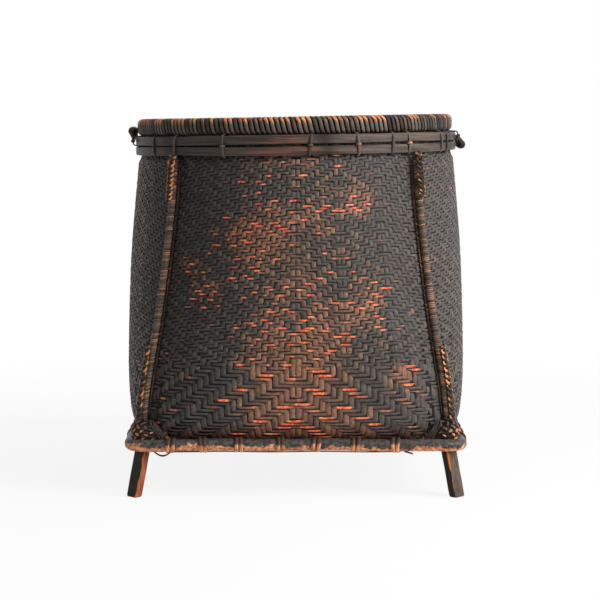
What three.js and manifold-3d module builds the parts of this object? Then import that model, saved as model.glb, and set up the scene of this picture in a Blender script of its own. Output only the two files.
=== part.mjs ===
// Footed grain basket: a twill-woven body, square at the base and round at the mouth,
// held by a wrapped rim, two split-bamboo bands, four corner ribs, a bent-cane base frame
// and four splayed legs. Millimetres, +Z up, origin on the floor under the centre.
import * as THREE from 'three';
import { mergeVertices } from 'three/addons/utils/BufferGeometryUtils.js';
import Module from 'manifold-3d';

const wasm = await Module();
wasm.setup();

// Driving dimensions
const clearance = 0.3;

const frameHeight = 48.5;
const frameHalf = 154.5;
const frameBend = 16;
const frameRod = 11.5;

const wall = 3.2;
const seatDepth = 0.4;
const heelGap = 1;
const heelFlat = 6;
const bulgeHalf = 159.5;
const bulgeHeight = 72.2;
const bellyHalf = 165;
const bellyHeight = 124.2;
const shoulderHalf = 163.8;
const shoulderHeight = 219.2;
const neckHalf = 156.2;
const neckDrop = 8;
const mouthRadius = 153;
const mouthHeight = 317.5;
const mouthLean = THREE.MathUtils.degToRad(1);
const roundHeight = 279.2;
const squareness = 0.14;
const twillRelief = 1.2;

const bandHeight = 8.4;
const bandThickness = 4.6;
const bandGap = 1.7;
const innerBandThickness = 4;
const collarDrop = 3;
const rimWidth = 15.2;
const rimHeight = 15.5;
const rimInset = 5;
const rimTurns = 128;
const rimStarts = 3;
const rimRelief = 0.9;
const rimSoftness = 0.8;

const tieWidth = 2.2;
const tieThickness = 1.1;
const tieAngles = [-63, -46, -25, 5, 22, 37, 46, 67];

const earFoot = 3.4;
const earBar = 8.6;
const earReach = 10;
const earHalf = 34;
const earTieOffset = 28;
const earSeatHalf = 17;
const leftEarAngle = 80;
const rightEarAngle = -65;

const ribRod = 6.6;
const ribTopGap = 1.5;
const ribLift = 1;
const braidThickness = 1.4;
const upperBraidLength = 34;
const lowerBraidLength = 62;

const padHeight = 17;
const padSweep = 6;
const padBulge = 16;

const legWidth = 12.5;
const legDepth = 8.5;
const legChamfer = 1;
const legSplay = THREE.MathUtils.degToRad(14);
const legRise = 5;

const slatWidth = 16;
const slatThickness = 6;
const tenonWidth = 6;
const tenonHeight = 3.4;
const tenonLength = 5;

const lashWidth = 3.4;
const lashThickness = 1.3;
const lashPitch = 4.3;
const runnerWidth = 3;
const frameTieSpots = [-116, -86, -53, -14, 19, 56, 93];

// Facet counts
const ringSegments = 48;
const rodSides = 10;
const lashSides = 8;
const bendSteps = 6;
const wallSteps = 24;
const heelCrowding = 1.2;
const plainHeelRows = 3;
const ribSteps = 14;
const braidSteps = 5;
const padSteps = 8;
const earSteps = 20;
const rimSides = 8;

// Sizes that follow from the ones above
const quarter = Math.PI / 2;
const rodRadius = frameRod / 2;
const lashInner = (rodRadius + clearance) / Math.cos(Math.PI / lashSides);
const lashOuter = lashInner + lashThickness;
const bottomHeight = frameHeight - seatDepth;
const seatReach = lashOuter + clearance + heelGap;
const bottomHalf = frameHalf - seatReach;
const bandInner = mouthRadius + clearance;
const bandOuter = bandInner + bandThickness;
const upperBandBottom = bandHeight + bandGap;
const upperBandTop = upperBandBottom + bandHeight;
const rimBottom = upperBandTop + bandGap;
const wallTop = rimBottom - clearance;
const rimRadius = mouthRadius - rimInset;
const earHeight = upperBandBottom + bandHeight / 2;
const earPivot = Math.sqrt(bandOuter ** 2 - earSeatHalf ** 2) + clearance + earFoot / 2;

const finishes = {
  weave: new THREE.MeshStandardMaterial({ color: 0x2b2521, roughness: 0.55, metalness: 0 }),
  band: new THREE.MeshStandardMaterial({ color: 0x35312e, roughness: 0.45, metalness: 0 }),
  lashing: new THREE.MeshStandardMaterial({ color: 0x3a2c22, roughness: 0.5, metalness: 0 }),
  cane: new THREE.MeshStandardMaterial({ color: 0x4a3427, roughness: 0.5, metalness: 0 }),
  wood: new THREE.MeshStandardMaterial({ color: 0x2f2a27, roughness: 0.6, metalness: 0 }),
};

// A closed surface through rings of points, each ring with the same count.
// loop joins the last ring to the first, otherwise the two ends are capped by endFaces.
// falls tells which columns have their squares cut from the upper left to the lower right.
function loft(rings, { loop = false, endFaces = null, falls = () => false } = {}) {
  const count = rings[0].length;
  const points = rings.flat().flatMap((p) => p.toArray());
  const faces = [];
  const spans = loop ? rings.length : rings.length - 1;
  for (let i = 0; i < spans; i += 1) {
    const here = i * count;
    const next = ((i + 1) % rings.length) * count;
    for (let j = 0; j < count; j += 1) {
      const k = (j + 1) % count;
      if (falls(j)) faces.push(here + j, here + k, next + j, here + k, next + k, next + j);
      else faces.push(here + j, here + k, next + k, here + j, next + k, next + j);
    }
  }
  if (!loop) {
    const last = (rings.length - 1) * count;
    const ends = endFaces ?? Array.from({ length: count - 2 }, (_, j) => [0, j + 1, j + 2]);
    ends.forEach(([a, b, c]) => faces.push(a, c, b, last + a, last + b, last + c));
  }
  return outward(points, faces);
}

// A geometry whose faces point out, whichever way its rings were listed.
function outward(points, faces) {
  const corner = (i) => new THREE.Vector3().fromArray(points, faces[i] * 3);
  let volume = 0;
  for (let i = 0; i < faces.length; i += 3) {
    volume += corner(i).dot(corner(i + 1).cross(corner(i + 2)));
  }
  const index = volume < 0 ? faces.slice().reverse() : faces;
  const geometry = new THREE.BufferGeometry();
  geometry.setAttribute('position', new THREE.Float32BufferAttribute(points, 3));
  geometry.setIndex(index);
  geometry.computeVertexNormals();
  return geometry;
}

// A flat section carried along a path that lies in one plane, with that plane's normal as side.
// The section's x runs away from the bend's inside (side x tangent) and its y along side.
function sweep(path, side, section, { loop = false, scale = () => 1 } = {}) {
  const rings = path.map((point, i) => {
    const before = path[loop ? (i + path.length - 1) % path.length : Math.max(i - 1, 0)];
    const after = path[loop ? (i + 1) % path.length : Math.min(i + 1, path.length - 1)];
    const tangent = after.clone().sub(before).normalize();
    const normal = side.clone().cross(tangent).normalize();
    const size = scale(i / (path.length - 1));
    return section.map((s) =>
      point.clone().addScaledVector(normal, s.x * size).addScaledVector(side, s.y * size));
  });
  return loft(rings, { loop, endFaces: THREE.ShapeUtils.triangulateShape(section, []) });
}

function circle(radius, sides, turn = 0) {
  return Array.from({ length: sides }, (_, i) => {
    const angle = turn + (i / sides) * Math.PI * 2;
    return new THREE.Vector2(Math.cos(angle) * radius, Math.sin(angle) * radius);
  });
}

function rectangle(left, right, bottom, top) {
  return [[left, bottom], [right, bottom], [right, top], [left, top]].map(([x, y]) => new THREE.Vector2(x, y));
}

// Solids for boolean work
function solid(geometry) {
  const bare = geometry.clone();
  bare.deleteAttribute('normal');
  bare.deleteAttribute('uv');
  const merged = mergeVertices(bare);
  return new wasm.Manifold(new wasm.Mesh({
    numProp: 3,
    vertProperties: merged.attributes.position.array,
    triVerts: new Uint32Array(merged.index.array),
  }));
}

function geometryOf(made) {
  const mesh = made.getMesh();
  const geometry = new THREE.BufferGeometry();
  geometry.setAttribute('position', new THREE.BufferAttribute(new Float32Array(mesh.vertProperties), 3));
  geometry.setIndex(new THREE.BufferAttribute(mesh.triVerts, 1));
  geometry.computeVertexNormals();
  return geometry;
}

function box(width, depth, height, x, y, z) {
  return solid(new THREE.BoxGeometry(width, depth, height).translate(x, y, z));
}

const basket = new THREE.Group();
const mouth = new THREE.Group();
mouth.position.z = mouthHeight;
mouth.rotation.y = -mouthLean;
mouth.updateMatrix();
basket.add(mouth);

function add(parent, name, geometry, finish) {
  const mesh = new THREE.Mesh(geometry, finishes[finish]);
  mesh.name = name;
  parent.add(mesh);
  return mesh;
}

// Woven body: the side's half-width climbs a spline, and the plan goes from square to round.
// The heel starts round the frame's lashing, so that the wall stays clear of it.
function roundLashing(degrees) {
  const angle = THREE.MathUtils.degToRad(degrees);
  return new THREE.Vector2(frameHalf + Math.cos(angle) * seatReach, frameHeight + Math.sin(angle) * seatReach);
}

const sideProfile = new THREE.SplineCurve([
  roundLashing(165),
  roundLashing(125),
  new THREE.Vector2(bulgeHalf, bulgeHeight),
  new THREE.Vector2(bellyHalf, bellyHeight),
  new THREE.Vector2(shoulderHalf, shoulderHeight),
  new THREE.Vector2(neckHalf, mouthHeight - neckDrop),
]);

function planExponent(z) {
  const climb = THREE.MathUtils.clamp((z - bottomHeight) / (roundHeight - bottomHeight), 0, 1);
  return 1 / (squareness + (0.5 - squareness) * (1 - (1 - climb) ** 1.7));
}

function leanAt(z) {
  return Math.sin(mouthLean) * THREE.MathUtils.smoothstep(z, bellyHeight, mouthHeight - neckDrop);
}

function planRadius(half, exponent, angle) {
  const across = Math.abs(Math.cos(angle)) ** exponent + Math.abs(Math.sin(angle)) ** exponent;
  return half / across ** (1 / exponent);
}

function bodyRing(half, z, exponent) {
  return Array.from({ length: ringSegments }, (_, i) => {
    const angle = (i / ringSegments) * Math.PI * 2;
    const radius = planRadius(half, exponent, angle);
    const x = Math.cos(angle) * radius;
    return new THREE.Vector3(x, Math.sin(angle) * radius, z + x * leanAt(z));
  });
}

function collarRing(radius, z) {
  return Array.from({ length: ringSegments }, (_, i) => {
    const angle = (i / ringSegments) * Math.PI * 2;
    return new THREE.Vector3(Math.cos(angle) * radius, Math.sin(angle) * radius, z).applyMatrix4(mouth.matrix);
  });
}

// Outline of the wall, offset inwards by a depth, from the heel to the neck.
// The rings lie closer together at the heel, where the wall bends most.
function wallRings(depth) {
  return Array.from({ length: wallSteps + 1 }, (_, i) => {
    const share = (i / wallSteps) ** heelCrowding;
    const at = sideProfile.getPointAt(share);
    const along = sideProfile.getTangentAt(share);
    const z = at.y + along.x * depth;
    return bodyRing(at.x - along.y * depth, z, planExponent(at.y));
  });
}

// The wall's twill: every other point is drawn from one depth to another, so that the main
// ridges fall in chevrons from the middle of each side, about 23 mm apart. The corners, the
// heel and the neck stay plain, where other pieces lie on the wall.
const sideSegments = ringSegments / 4;

function twillRings(depth, drawnDepth, parity) {
  const drawn = wallRings(drawnDepth);
  return wallRings(depth).map((ring, i) => ring.map((point, j) => {
    const clear = i >= plainHeelRows && i < wallSteps && j % sideSegments !== sideSegments / 2;
    return clear && (i + j) % 2 === parity ? drawn[i][j] : point;
  }));
}

function wovenBody() {
  const flatHalf = bottomHalf - heelFlat;
  const outside = [
    bodyRing(flatHalf, bottomHeight, planExponent(bottomHeight)),
    ...twillRings(0, twillRelief, 1),
    collarRing(mouthRadius, -collarDrop),
    collarRing(mouthRadius, wallTop),
  ];
  const inside = [
    collarRing(mouthRadius - wall, wallTop),
    collarRing(mouthRadius - wall, -collarDrop),
    ...twillRings(wall, wall - twillRelief, 0).reverse(),
    bodyRing(flatHalf - wall, bottomHeight + wall, planExponent(bottomHeight)),
  ];
  return loft([...outside, ...inside], { falls: (j) => j % sideSegments < sideSegments / 2 });
}

add(basket, 'woven_body', wovenBody(), 'weave');

// Hoops round the mouth, each a band turned about the mouth's axis.
function hoop(inner, outer, bottom, top) {
  const profile = rectangle(inner, outer, bottom, top);
  return new THREE.LatheGeometry([...profile, profile[0]], ringSegments).rotateX(quarter);
}

add(mouth, 'lower_band', hoop(bandInner, bandOuter, 0, bandHeight), 'band');
add(mouth, 'upper_band', hoop(bandInner, bandOuter, upperBandBottom, upperBandTop), 'band');
const innerBandOuter = mouthRadius - wall - clearance;
add(mouth, 'inner_band', hoop(innerBandOuter - innerBandThickness, innerBandOuter, 0, upperBandTop), 'band');

// Wrapped rim: a hoop with its lashing wound over it, as ridges that run round in a helix.
function wrappedRim() {
  const rows = rimTurns * 2;
  const soften = (value) => Math.sign(value) * Math.abs(value) ** rimSoftness;
  const points = [];
  for (let i = 0; i < rows; i += 1) {
    const relief = i % 2 === 0 ? 0 : rimRelief;
    for (let j = 0; j < rimSides; j += 1) {
      const turn = ((i + (2 * rimStarts * j) / rimSides) / rows) * Math.PI * 2;
      const around = (j / rimSides) * Math.PI * 2 + Math.PI / rimSides;
      const radius = rimRadius + soften(Math.cos(around)) * (rimWidth / 2 - relief);
      const height = rimBottom + rimHeight / 2 + soften(Math.sin(around)) * (rimHeight / 2 - relief);
      points.push(Math.cos(turn) * radius, Math.sin(turn) * radius, height);
    }
  }
  const at = (i, j) => {
    const row = j === rimSides ? i + 2 * rimStarts : i;
    return (row % rows) * rimSides + (j % rimSides);
  };
  const faces = [];
  for (let i = 0; i < rows; i += 1) {
    for (let j = 0; j < rimSides; j += 1) {
      faces.push(at(i, j), at(i + 1, j), at(i + 1, j + 1), at(i, j), at(i + 1, j + 1), at(i, j + 1));
    }
  }
  return outward(points, faces);
}

add(mouth, 'wrapped_rim', wrappedRim(), 'lashing');

// A staple of rattan strip over the bands, from the wall above to the wall below.
function staple(reach, bottom, top) {
  const back = mouthRadius + clearance;
  const shape = new THREE.Shape([
    new THREE.Vector2(back, bottom - tieThickness),
    new THREE.Vector2(reach + tieThickness, bottom - tieThickness),
    new THREE.Vector2(reach + tieThickness, top + tieThickness),
    new THREE.Vector2(back, top + tieThickness),
    new THREE.Vector2(back, top),
    new THREE.Vector2(reach, top),
    new THREE.Vector2(reach, bottom),
    new THREE.Vector2(back, bottom),
  ]);
  const strip = new THREE.ExtrudeGeometry(shape, { depth: tieWidth, bevelEnabled: false });
  return strip.translate(0, 0, -tieWidth / 2).rotateX(quarter);
}

const tieSides = [['front', -90], ['back', 90]];
tieSides.forEach(([side, middle]) => {
  tieAngles.forEach((angle, i) => {
    const tie = staple(bandOuter + clearance, -clearance, upperBandTop + clearance);
    const mesh = add(mouth, `band_tie_${side}_${i + 1}`, tie, 'lashing');
    mesh.rotation.z = THREE.MathUtils.degToRad(middle + angle);
  });
});

// Ear loops: small cane bails whose turned-out feet lie on the upper band under a tie each.
function earLoop() {
  const half = new THREE.CatmullRomCurve3([
    new THREE.Vector3(0, earHalf, 0),
    new THREE.Vector3(0, earSeatHalf + earFoot * 1.5, 0),
    new THREE.Vector3(earReach * 0.3, earSeatHalf + earFoot * 0.3, 0),
    new THREE.Vector3(earReach * 0.85, earSeatHalf - earFoot * 0.6, 0),
    new THREE.Vector3(earReach, earSeatHalf - earFoot * 1.8, 0),
    new THREE.Vector3(earReach, 0, 0),
  ]);
  const run = half.getSpacedPoints(earSteps / 2);
  const mirrored = run.slice(0, -1).reverse().map((p) => new THREE.Vector3(p.x, -p.y, p.z));
  const thicken = (t) => THREE.MathUtils.smoothstep(0.5 - Math.abs(t - 0.5), 0.16, 0.36);
  return sweep([...run, ...mirrored], new THREE.Vector3(0, 0, 1), circle(1, rodSides - 2), {
    scale: (t) => THREE.MathUtils.lerp(earFoot, earBar, thicken(t)) / 2,
  });
}

const ears = [['left', Math.PI, leftEarAngle], ['right', 0, rightEarAngle]];
ears.forEach(([side, facing, rise]) => {
  const seat = new THREE.Group();
  seat.rotation.z = facing;
  mouth.add(seat);
  const loop = add(seat, `ear_loop_${side}`, earLoop(), 'cane');
  loop.position.set(earPivot, 0, earHeight);
  loop.rotation.y = -THREE.MathUtils.degToRad(rise);
  [['front', -1], ['back', 1]].forEach(([end, sign]) => {
    const turn = Math.atan2(earTieOffset, earPivot);
    const reach = Math.hypot(earPivot, earTieOffset) + earFoot / 2 / Math.cos(turn) + clearance;
    const tie = staple(reach, upperBandBottom - clearance, upperBandTop + clearance);
    const mesh = add(seat, `ear_tie_${side}_${end}`, tie, 'lashing');
    const outside = facing === 0 ? sign : -sign;
    mesh.rotation.z = outside * turn;
  });
});

// Corners, numbered by the direction they face
const corners = [
  ['front_left', -135], ['front_right', -45], ['back_right', 45], ['back_left', 135],
].map(([name, degrees]) => ({ name, angle: THREE.MathUtils.degToRad(degrees) }));

// A point on the body's outside at an angle and height, moved out by an offset.
function bodyPoint(angle, z, offset) {
  const top = sideProfile.points[sideProfile.points.length - 1].y;
  const low = sideProfile.points[0].y;
  const share = profileShare((THREE.MathUtils.clamp(z, low, top)));
  const half = sideProfile.getPointAt(share).x;
  const radius = planRadius(half, planExponent(z), angle) + offset;
  const x = Math.cos(angle) * radius;
  return new THREE.Vector3(x, Math.sin(angle) * radius, z + x * leanAt(z));
}

// Where along the side profile a height lies, found by halving.
function profileShare(z) {
  let low = 0;
  let high = 1;
  for (let i = 0; i < 24; i += 1) {
    const middle = (low + high) / 2;
    if (sideProfile.getPointAt(middle).y < z) low = middle;
    else high = middle;
  }
  return (low + high) / 2;
}

const ribBottom = frameHeight + rodRadius + clearance + padHeight + ribLift;
const ribTop = mouthHeight - neckDrop - ribTopGap;

function ribPath(angle, from, to, steps) {
  return Array.from({ length: steps + 1 }, (_, i) => {
    const z = THREE.MathUtils.lerp(from, to, i / steps);
    return bodyPoint(angle, z, ribRod / 2 + clearance * 3);
  });
}

// Braided lashing over part of a rib, open towards the wall.
function braidSection() {
  const inner = ribRod / 2 + clearance;
  const outer = inner + braidThickness;
  const arc = (radius, steps) => Array.from({ length: steps + 1 }, (_, i) => {
    const angle = -quarter + (i / steps) * Math.PI;
    return new THREE.Vector2(Math.cos(angle) * radius, Math.sin(angle) * radius);
  });
  return [...arc(outer, 4), ...arc(inner / Math.cos(Math.PI / 8), 4).reverse()];
}

corners.forEach(({ name, angle }) => {
  const side = new THREE.Vector3(-Math.sin(angle), Math.cos(angle), 0);
  const rib = ribPath(angle, ribBottom, ribTop, ribSteps);
  add(basket, `corner_rib_${name}`, sweep(rib, side, circle(ribRod / 2, rodSides - 2)), 'cane');
  const lower = ribPath(angle, ribBottom, ribBottom + lowerBraidLength, braidSteps);
  add(basket, `lower_braid_${name}`, sweep(lower, side, braidSection()), 'lashing');
  const upper = ribPath(angle, ribTop - upperBraidLength, ribTop, braidSteps);
  add(basket, `upper_braid_${name}`, sweep(upper, side, braidSection()), 'lashing');
});

// Plaited corner pads: a crescent on the frame's corner, highest where the rib comes down.
function cornerPad(angle) {
  const foot = frameHeight + rodRadius + clearance;
  const rings = Array.from({ length: padSteps + 1 }, (_, i) => {
    const share = (i / padSteps) * 2 - 1;
    const turn = angle + THREE.MathUtils.degToRad(padSweep) * share;
    const fall = 1 - share ** 2 * 0.75;
    const top = foot + padHeight * fall;
    const middle = (foot + top) / 2;
    const thick = padBulge * fall;
    const skin = clearance * 3;
    return [
      bodyPoint(turn, foot, skin + thick * 0.35),
      bodyPoint(turn, foot, skin + thick * 1.35).setZ(foot),
      bodyPoint(turn, middle, skin + thick * 0.6),
      bodyPoint(turn, top, skin + thick * 0.3),
      bodyPoint(turn, top, skin),
      bodyPoint(turn, middle, skin + thick * 0.1),
    ];
  });
  return loft(rings);
}

corners.forEach(({ name, angle }) => add(basket, `corner_pad_${name}`, cornerPad(angle), 'lashing'));

// Base frame: one cane bent into a square ring with round corners.
function framePath() {
  const reach = frameHalf - frameBend;
  return corners.flatMap(({ angle }) => Array.from({ length: bendSteps + 1 }, (_, i) => {
    const turn = angle + (i / bendSteps - 0.5) * quarter;
    const x = Math.sign(Math.cos(angle)) * reach + Math.cos(turn) * frameBend;
    const y = Math.sign(Math.sin(angle)) * reach + Math.sin(turn) * frameBend;
    return new THREE.Vector3(x, y, frameHeight);
  }));
}

const up = new THREE.Vector3(0, 0, 1);
add(basket, 'base_frame', sweep(framePath(), up, circle(rodRadius, rodSides), { loop: true }), 'cane');

// Frame lashing: one strip to a side, wound twice round the cane at each tie
// and carried along underneath from one tie to the next.
function frameLashing() {
  const strip = [
    new THREE.Vector2(lashInner, -lashWidth / 2),
    new THREE.Vector2(lashOuter, 0),
    new THREE.Vector2(lashInner, lashWidth / 2),
  ];
  const wrap = (x) => {
    const path = circle(1, lashSides, Math.PI / lashSides);
    const rings = path.map((p) => strip.map((s) => new THREE.Vector3(x + s.y, p.x * s.x, p.y * s.x)));
    return solid(loft(rings, { loop: true }));
  };
  const flat = lashInner * Math.cos(Math.PI / lashSides);
  const first = Math.min(...frameTieSpots) - lashPitch;
  const last = Math.max(...frameTieSpots) + lashPitch;
  const runnerDepth = lashThickness * 0.6;
  const runner = box(last - first, runnerWidth, runnerDepth, (first + last) / 2, 0, -flat - runnerDepth / 2);
  const wraps = frameTieSpots.flatMap((x) => [wrap(x - lashPitch / 2), wrap(x + lashPitch / 2)]);
  return geometryOf(wraps.reduce((made, next) => made.add(next), runner));
}

['front', 'right', 'back', 'left'].forEach((side, i) => {
  const turned = new THREE.Group();
  turned.rotation.z = i * quarter;
  basket.add(turned);
  const mesh = add(turned, `frame_lashing_${side}`, frameLashing(), 'lashing');
  mesh.position.set(0, -frameHalf, frameHeight);
});

// Legs: slanted posts inside the frame's corners, each with a mortise for a cross slat.
const bendCentre = (frameHalf - frameBend) * Math.SQRT2;
const innerBend = frameBend - rodRadius - clearance;
const legOuter = bendCentre + Math.sqrt(innerBend ** 2 - (legWidth / 2) ** 2) - clearance;
const legCentre = legOuter - legDepth / 2;
const legTop = frameHeight + legRise;
const slatTop = bottomHeight - clearance;
const slatMiddle = slatTop - slatThickness / 2;

function legAxis(z) {
  return legCentre + (frameHeight - z) * Math.tan(legSplay);
}

function legSection(z, inset) {
  const x = legDepth / 2 - inset;
  const y = legWidth / 2 - inset;
  const c = legChamfer;
  const outline = [[x, y - c], [x - c, y], [c - x, y], [-x, y - c], [-x, c - y], [c - x, -y], [x - c, -y], [x, c - y]];
  return outline.map(([dx, dy]) => new THREE.Vector3(legAxis(z) + dx, dy, z));
}

function leg() {
  const post = solid(loft([
    legSection(0, legChamfer / 2), legSection(legChamfer, 0),
    legSection(legTop - legChamfer, 0), legSection(legTop, legChamfer / 2),
  ]));
  const innerFace = legAxis(slatMiddle) - legDepth / 2;
  const depth = tenonLength + clearance * 2;
  const mortise = box(
    depth * 2, tenonWidth + clearance * 2, tenonHeight + clearance * 2, innerFace, 0, slatMiddle,
  );
  return geometryOf(post.subtract(mortise));
}

corners.forEach(({ name, angle }) => {
  add(basket, `leg_${name}`, leg(), 'wood').rotation.z = angle;
});

// Cross slats: two diagonals under the woven bottom, halved over each other at the middle
// and tenoned into the legs.
function crossSlat(notchSide) {
  const shoulder = legAxis(slatTop) - legDepth / 2 - clearance;
  const length = (shoulder + tenonLength - clearance) * 2;
  const body = box(shoulder * 2, slatWidth, slatThickness, 0, 0, slatMiddle);
  const tenons = box(length, tenonWidth, tenonHeight, 0, 0, slatMiddle);
  const notch = box(
    slatWidth + clearance * 2, slatWidth * 2, slatThickness + clearance,
    0, 0, slatMiddle + (notchSide * slatThickness) / 2,
  );
  return geometryOf(body.add(tenons).subtract(notch));
}

[['falling', -45, 1], ['rising', 45, -1]].forEach(([name, degrees, notchSide]) => {
  add(basket, `cross_slat_${name}`, crossSlat(notchSide), 'wood').rotation.z = THREE.MathUtils.degToRad(degrees);
});

export default basket;
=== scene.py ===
import bpy
import math
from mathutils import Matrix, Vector


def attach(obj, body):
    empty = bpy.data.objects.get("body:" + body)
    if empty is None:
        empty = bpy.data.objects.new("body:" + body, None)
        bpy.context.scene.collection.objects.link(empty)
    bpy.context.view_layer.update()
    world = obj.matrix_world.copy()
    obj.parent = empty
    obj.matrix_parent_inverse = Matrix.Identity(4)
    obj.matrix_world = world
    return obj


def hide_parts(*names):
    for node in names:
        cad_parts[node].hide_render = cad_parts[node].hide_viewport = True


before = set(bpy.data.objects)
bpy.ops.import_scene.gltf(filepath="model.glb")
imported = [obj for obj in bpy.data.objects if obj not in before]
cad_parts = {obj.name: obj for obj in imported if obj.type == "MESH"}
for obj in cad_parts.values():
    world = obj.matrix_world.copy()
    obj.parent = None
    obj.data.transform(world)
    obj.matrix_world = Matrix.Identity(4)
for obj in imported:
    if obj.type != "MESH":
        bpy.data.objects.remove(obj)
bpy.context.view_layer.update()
print("frame loaded,", len(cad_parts), "nodes")


class Settings(dict):  # named values that are read with a dot
    __getattr__ = dict.__getitem__


def maths(operation, kind="ShaderNodeMath"):  # a function of a socket, and of sockets or numbers after it
    def act(value, *others):
        return value.bench.maths(operation, value, *others, kind=kind)
    return act


def mathsAfter(operation):  # the same with the socket second
    def act(value, other):
        return value.bench.maths(operation, other, value)
    return act


class Sock:  # a node socket that takes part in plain arithmetic
    def __init__(self, bench, socket):
        self.bench = bench
        self.socket = socket

    __add__ = __radd__ = maths("ADD")
    __mul__ = __rmul__ = maths("MULTIPLY")
    __sub__, __rsub__ = maths("SUBTRACT"), mathsAfter("SUBTRACT")
    __truediv__, __rtruediv__ = maths("DIVIDE"), mathsAfter("DIVIDE")
    __mod__, __pow__ = maths("FLOORED_MODULO"), maths("POWER")
    __gt__, __lt__ = maths("GREATER_THAN"), maths("LESS_THAN")
    __abs__, __floor__ = maths("ABSOLUTE"), maths("FLOOR")

    def __neg__(self):
        return self * -1.0

    def __floordiv__(self, other):
        return math.floor(self / other)


sin, cos, sign, root = maths("SINE"), maths("COSINE"), maths("SIGN"), maths("SQRT")
least, most = maths("MINIMUM"), maths("MAXIMUM")
arctangent, pingPong = maths("ARCTANGENT"), maths("PINGPONG")
plus, times, unit = (maths(kind, "ShaderNodeVectorMath") for kind in ("ADD", "MULTIPLY", "NORMALIZE"))


class Bench:  # a node tree and the ways of adding to it
    def __init__(self, tree):
        self.tree = tree

    def node(self, kind, settings=None, sockets=None, out=0):
        made = self.tree.nodes.new(kind)
        for label, value in (settings or {}).items():
            setattr(made, label, value)
        for key, value in (sockets or {}).items():
            if isinstance(key, int):
                target = made.inputs[key]
            else:
                target = next(s for s in made.inputs if s.enabled and s.name == key)
            if isinstance(value, Sock):
                self.tree.links.new(value.socket, target)
            else:
                target.default_value = value
        shown = [s for s in made.outputs if s.enabled]
        if isinstance(out, str):
            return Sock(self, next(s for s in shown if s.name == out))
        return Sock(self, shown[out])

    def maths(self, operation, *values, kind="ShaderNodeMath"):
        return self.node(kind, {"operation": operation}, dict(enumerate(values)))

    def index(self):
        return self.node("GeometryNodeInputIndex")

    def place(self):  # a spot on the piece that is painted, in metres
        return self.node("ShaderNodeTexCoord", None, None, "Object")

    def facing(self):  # the way the surface faces
        return self.node("ShaderNodeNewGeometry", None, None, "Normal")

    def tone(self, name):  # a value stored on the mesh
        return self.node("ShaderNodeAttribute", {"attribute_name": name}, None, "Fac")


def mix(share, first, second):
    return first + (second - first) * share


def blend(share, first, second):  # a mix of two colours
    return share.bench.node(
        "ShaderNodeMix", {"data_type": "RGBA"}, {"Factor": share, "A": first, "B": second}, "Result")


def fade(value, low, high):  # 0 below low, 1 above high, smooth between
    return value.bench.node(
        "ShaderNodeMapRange", {"interpolation_type": "SMOOTHSTEP"},
        {"Value": value, "From Min": low, "From Max": high, "To Min": 0.0, "To Max": 1.0})


def soften(value, power):  # a power that keeps the sign
    return sign(value) * abs(value) ** power


def split(index, each):  # which run of so many an index falls in, and its place there
    return index // each, index % each


def chance(key, seed):  # a steady random value for a whole number
    return key.bench.node("FunctionNodeRandomValue", {"data_type": "FLOAT"}, {"ID": key, "Seed": seed})


def curved(value, bends):  # the value carried along a smooth line through the bends
    made = value.bench.node("ShaderNodeFloatCurve", None, {"Value": value})
    mapping = made.socket.node.mapping
    points = mapping.curves[0].points
    while len(points) < len(bends):
        points.new(0.5, 0.5)
    for point, spot in zip(points, bends):
        point.location = spot
    mapping.update()
    return made


def vector(x, y, z):
    bench = next(part.bench for part in (x, y, z) if isinstance(part, Sock))
    return bench.node("ShaderNodeCombineXYZ", None, {0: x, 1: y, 2: z})


def axis(spot, name):
    return spot.bench.node("ShaderNodeSeparateXYZ", None, {0: spot}, name)


def scaled(way, amount):
    return way.bench.node("ShaderNodeVectorMath", {"operation": "SCALE"}, {0: way, "Scale": amount})


def sideways(facing):  # level, and square to the way faced
    return facing.bench.maths("CROSS_PRODUCT", (0, 0, 1), facing, kind="ShaderNodeVectorMath")


def turned(x, y, angle):  # a level vector turned about the upright
    c, s = cos(angle), sin(angle)
    return x * c - y * s, x * s + y * c


def turnedFlat(x, y, angle):  # the same for plain numbers
    c, s = math.cos(angle), math.sin(angle)
    return x * c - y * s, x * s + y * c


def seedMesh(name, seeds):  # points with a few stored values, joined in the order of their "line"
    mesh = bpy.data.meshes.new(name)
    pairs = [(i, i + 1) for i in range(len(seeds) - 1) if "line" in seeds[i]]
    edges = [(i, k) for i, k in pairs if seeds[i]["line"] == seeds[k]["line"]]
    mesh.from_pydata([seed["at"] for seed in seeds], edges, [])
    for label in sorted({key for seed in seeds for key in seed if key != "at"}):
        layer = mesh.attributes.new(label, "FLOAT", "POINT")
        layer.data.foreach_set("value", [seed[label] for seed in seeds])
    return mesh


def added(name, data):  # a new object in the scene
    made = bpy.data.objects.new(name, data)
    bpy.context.scene.collection.objects.link(made)
    return made


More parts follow.
